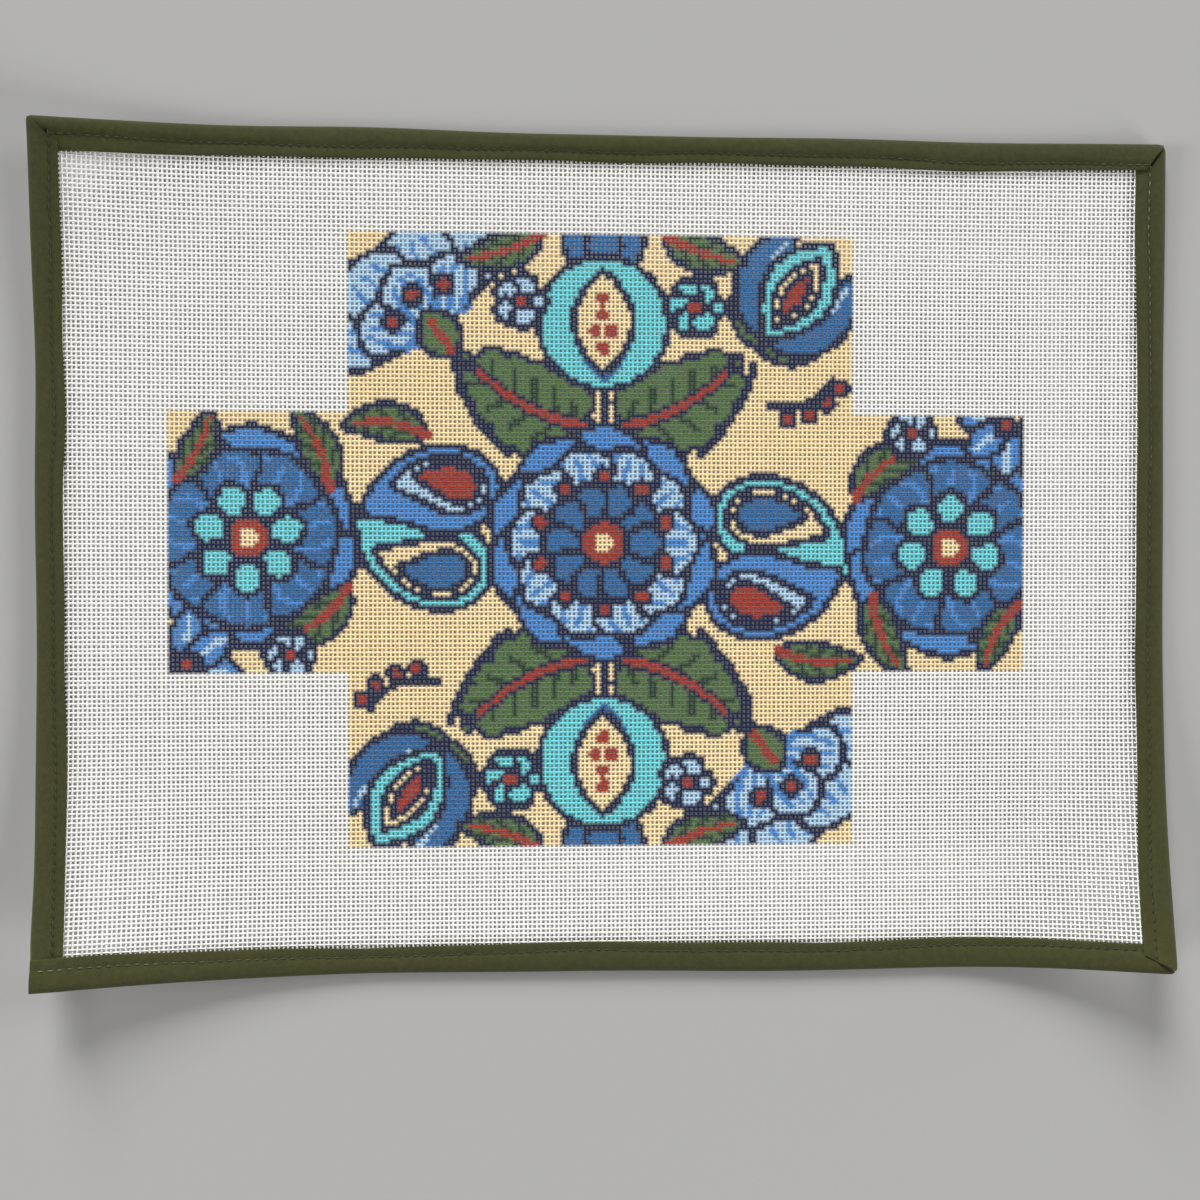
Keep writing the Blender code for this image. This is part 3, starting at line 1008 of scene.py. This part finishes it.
class CANVASPANEL_OT_sew(bpy.types.Operator):
    """Sew the tape down with a line of machine stitches on both faces"""

    bl_idname = "canvas_panel.sew"
    bl_label = "Sew the binding"

    def execute(self, context):
        sizes, stitches = context.scene.canvas_tape, context.scene.canvas_stitches
        lines = [stitch_line(run, face, sizes, stitches) for run in RUNS for face in (1, -1)]
        sewing = join_as("binding_stitches", lines)
        bpy.ops.object.shade_smooth()
        dress(sewing, thread_material(stitches))
        return {"FINISHED"}


# The stage

# light, where it shines from, strength
LIGHTS = (
    ("window light", (-0.35, 1.6, 0.68), 3.7),
    ("left light", (-1.6, -0.3, 0.53), 1.8),
    ("fill light", (1.3, -1.2, 0.57), 1.8),
    ("right light", (1.6, 0.7, 0.57), 1.2),
)
LIGHT_SPREAD = math.radians(24)
FAR_LIGHT = 0.07  # how strongly the far background lights the panel
FAR_PALENESS = 0.5  # how pale it looks behind the floor


def soft_light(name, place, strength):
    """A broad, even light that shines from a place towards the panel."""
    light = bpy.data.objects.new(name, bpy.data.lights.new(name, "SUN"))
    bpy.context.scene.collection.objects.link(light)
    light.data.energy = strength
    light.data.angle = LIGHT_SPREAD
    light.location = place
    light.rotation_euler = Vector(place).to_track_quat("Z", "Y").to_euler()


class CANVASPANEL_OT_stage(bpy.types.Operator):
    """Set out a plain pale floor, soft studio light and the camera"""

    bl_idname = "canvas_panel.stage"
    bl_label = "Set the stage"

    def execute(self, context):
        settings = context.scene.canvas_stage
        start_primitive()
        bpy.ops.mesh.primitive_plane_add(size=30, location=(0, 0, 0))
        floor = context.object
        floor.name = floor.data.name = "floor"
        material = bpy.data.materials.new("plain pale floor")
        material.use_nodes = True
        shader = material.node_tree.nodes["Principled BSDF"]
        shader.inputs["Base Color"].default_value = tuple(settings.floor_colour) + (1,)
        shader.inputs["Roughness"].default_value = 0.9
        floor.data.materials.append(material)

        for name, place, strength in LIGHTS:
            soft_light(name, place, strength)
        world = bpy.data.worlds.new("studio")
        world.use_nodes = True
        nodes, links = world.node_tree.nodes, world.node_tree.links
        seen = nodes.new("ShaderNodeLightPath").outputs["Is Camera Ray"]
        nodes["Background"].inputs["Color"].default_value = (1, 1, 1, 1)
        links.new(ranged(nodes, links, seen, FAR_LIGHT, FAR_PALENESS), nodes["Background"].inputs["Strength"])
        context.scene.world = world
        context.scene.view_settings.view_transform = "Standard"

        lean, turn = settings.camera_lean, settings.camera_turn
        right = Vector((math.cos(turn), 0, math.sin(turn)))
        level_back = Vector((-math.sin(turn), 0, math.cos(turn)))
        back = level_back * math.cos(lean) + Vector((0, math.sin(lean), 0))
        up = back.cross(right)
        camera = bpy.data.objects.new("camera", bpy.data.cameras.new("camera"))
        context.scene.collection.objects.link(camera)
        camera.data.lens = settings.focal_length
        camera.data.sensor_width = 36
        camera.data.clip_start = 0.01
        place = Vector(settings.looks_at) + back * settings.camera_height
        turned = Matrix((right, up, back)).transposed()
        camera.matrix_world = Matrix.Translation(place) @ turned.to_4x4()
        context.scene.camera = camera
        return {"FINISHED"}


class CANVASPANEL_PT_panel(bpy.types.Panel):
    """The panel's sizes and colours, with a button for each step"""

    bl_label = "Canvas panel"
    bl_idname = "CANVASPANEL_PT_panel"
    bl_space_type = "VIEW_3D"
    bl_region_type = "UI"
    bl_category = "Canvas panel"

    def draw(self, context):
        steps = (("canvas_weave", "canvas_panel.weave"), ("canvas_tape", "canvas_panel.bind"),
                 ("canvas_stitches", "canvas_panel.sew"), ("canvas_stage", "canvas_panel.stage"))
        for group, operator in steps:
            box = self.layout.box()
            settings = getattr(context.scene, group)
            for name in settings.__annotations__:
                box.prop(settings, name)
            box.operator(operator)


GROUPS = (
    ("canvas_weave", WeaveSizes),
    ("canvas_tape", TapeSizes),
    ("canvas_stitches", StitchSizes),
    ("canvas_stage", StageSettings),
)
OPERATORS = (CANVASPANEL_OT_weave, CANVASPANEL_OT_bind, CANVASPANEL_OT_sew, CANVASPANEL_OT_stage)


def register():
    for name, group in GROUPS:
        bpy.utils.register_class(group)
        setattr(bpy.types.Scene, name, PointerProperty(type=group))
    for operator in OPERATORS:
        bpy.utils.register_class(operator)
    bpy.utils.register_class(CANVASPANEL_PT_panel)


def unregister():
    bpy.utils.unregister_class(CANVASPANEL_PT_panel)
    for operator in reversed(OPERATORS):
        bpy.utils.unregister_class(operator)
    for name, group in reversed(GROUPS):
        delattr(bpy.types.Scene, name)
        bpy.utils.unregister_class(group)


def main():
    register()
    bpy.ops.canvas_panel.weave()
    bpy.ops.canvas_panel.bind()
    bpy.ops.canvas_panel.sew()
    bpy.ops.canvas_panel.stage()


if __name__ == "__main__":
    main()
